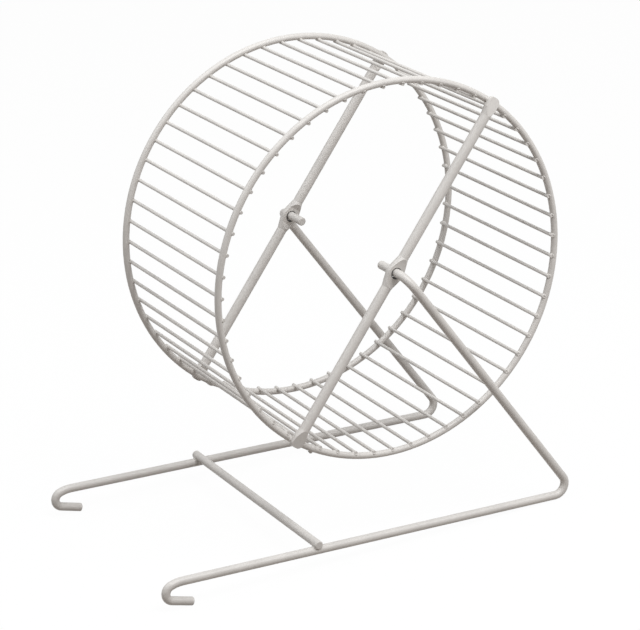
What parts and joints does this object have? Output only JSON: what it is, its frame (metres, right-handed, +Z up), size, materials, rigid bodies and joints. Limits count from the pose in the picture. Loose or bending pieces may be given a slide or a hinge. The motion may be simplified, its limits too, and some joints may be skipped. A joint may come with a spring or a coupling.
{
  "type": "rodent exercise wheel",
  "caption": "Open wire running wheel with two rims, cross rungs and diametral spokes, turning on stub axles of a hooked bent-wire stand.",
  "frame": {"origin": "centre of the bounding box on the floor, under the stand", "axes": "+Z up; +X along the runners, away from the cage hooks; +Y along the axle, away from the front"},
  "size_m": [0.2456, 0.1372, 0.2437],
  "materials": {
    "powder_coat": "satin powder coat, warm pale grey"
  },
  "bodies": {
    "stand": {"side_frame_front": "powder_coat", "side_frame_rear": "powder_coat", "cross_tie": "powder_coat"},
    "wheel": {"rim_front": "powder_coat", "rim_rear": "powder_coat", "spoke_front": "powder_coat", "spoke_rear": "powder_coat", "rungs_01": "powder_coat", "rungs_02": "powder_coat", "rungs_03": "powder_coat", "rungs_04": "powder_coat", "rungs_05": "powder_coat", "rungs_06": "powder_coat", "rungs_07": "powder_coat", "rungs_08": "powder_coat", "rungs_09": "powder_coat", "rungs_10": "powder_coat", "rungs_11": "powder_coat", "rungs_12": "powder_coat", "rungs_13": "powder_coat", "rungs_14": "powder_coat", "rungs_15": "powder_coat", "rungs_16": "powder_coat", "rungs_17": "powder_coat", "rungs_18": "powder_coat", "rungs_19": "powder_coat", "rungs_20": "powder_coat", "rungs_21": "powder_coat", "rungs_22": "powder_coat", "rungs_23": "powder_coat", "rungs_24": "powder_coat", "rungs_25": "powder_coat", "rungs_26": "powder_coat", "rungs_27": "powder_coat", "rungs_28": "powder_coat"}
  },
  "joints": [
    {"name": "wheel_spin", "type": "hinge", "parent": "stand", "child": "wheel", "pos_m": [0.02228, 0, 0.14367], "axis": [0, 1, 0], "continuous": true}
  ]
}
